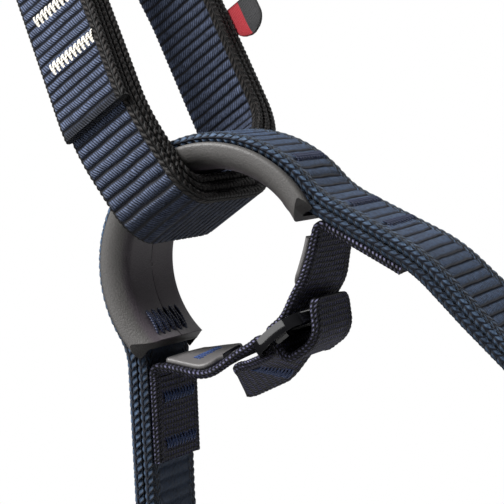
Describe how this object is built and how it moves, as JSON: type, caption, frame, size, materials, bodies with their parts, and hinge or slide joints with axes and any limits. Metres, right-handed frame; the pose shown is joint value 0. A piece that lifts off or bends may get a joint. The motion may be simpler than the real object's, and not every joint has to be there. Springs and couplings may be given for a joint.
{
  "type": "harness tie-in loop",
  "caption": "Webbing tie-in junction of a climbing harness: strap arch in a moulded guard, closed by tape and a slider, with a sewn belay loop hanging through it.",
  "frame": {"origin": "centre of the guard's arch, midway across its width", "axes": "+Z from the open side of the arch towards the belay loop, +Y along the arch's own axis towards the wearer, +X to the right seen from the front"},
  "size_m": [0.095, 0.0741, 0.1608],
  "materials": {
    "guard": "fine spark-eroded matt, dark warm grey",
    "liner": "matt, dark grey",
    "strap_webbing": "ribbed steel-blue webbing with a chain edge",
    "belay_webbing": "ribbed steel-blue webbing with a black edge",
    "closing_tape": "plain woven dark navy tape with a beaded edge",
    "slider": "polished black",
    "thread_navy": "bonded navy thread",
    "thread_blue": "bonded mid-blue thread",
    "thread_white": "bonded off-white thread",
    "label": "woven red and black label"
  },
  "bodies": {
    "belay_loop": {"belay_turn_inner": "belay_webbing", "belay_turn_middle": "belay_webbing", "belay_turn_outer": "belay_webbing", "belay_lap_end": "belay_webbing", "belay_lap_tacks": "thread_white", "side_tag": "label"},
    "tie_in_loop": {"guard": "guard", "strap_outer_layer": "strap_webbing", "strap_inner_layer": "strap_webbing", "strap_tacks_left": "thread_navy", "strap_tacks_right": "thread_navy", "guard_tack_left": "thread_navy", "guard_tack_right": "thread_navy", "tape_tab_left": "closing_tape", "tab_tacks_left": "thread_blue", "tape_tab_right": "closing_tape", "tab_tacks_right": "thread_blue", "tape_run_left": "closing_tape", "tape_run_right": "closing_tape", "liner_left": "liner", "liner_right": "liner"},
    "slider": {"slider": "slider", "tape_return": "closing_tape", "return_tack": "thread_blue", "tape_tail": "closing_tape"}
  },
  "joints": [
    {"name": "loop_swing", "type": "hinge", "parent": "belay_loop", "child": "tie_in_loop", "pos_m": [0, 0, 0], "axis": [0, 1, 0], "range_deg": [-40, 40]},
    {"name": "slider_adjust", "type": "slide", "parent": "tie_in_loop", "child": "slider", "axis": [0.9962, 0, 0.0872], "range_m": [-0.002, 0.003], "deforming": ["tape_run_left", "tape_run_right"]}
  ]
}
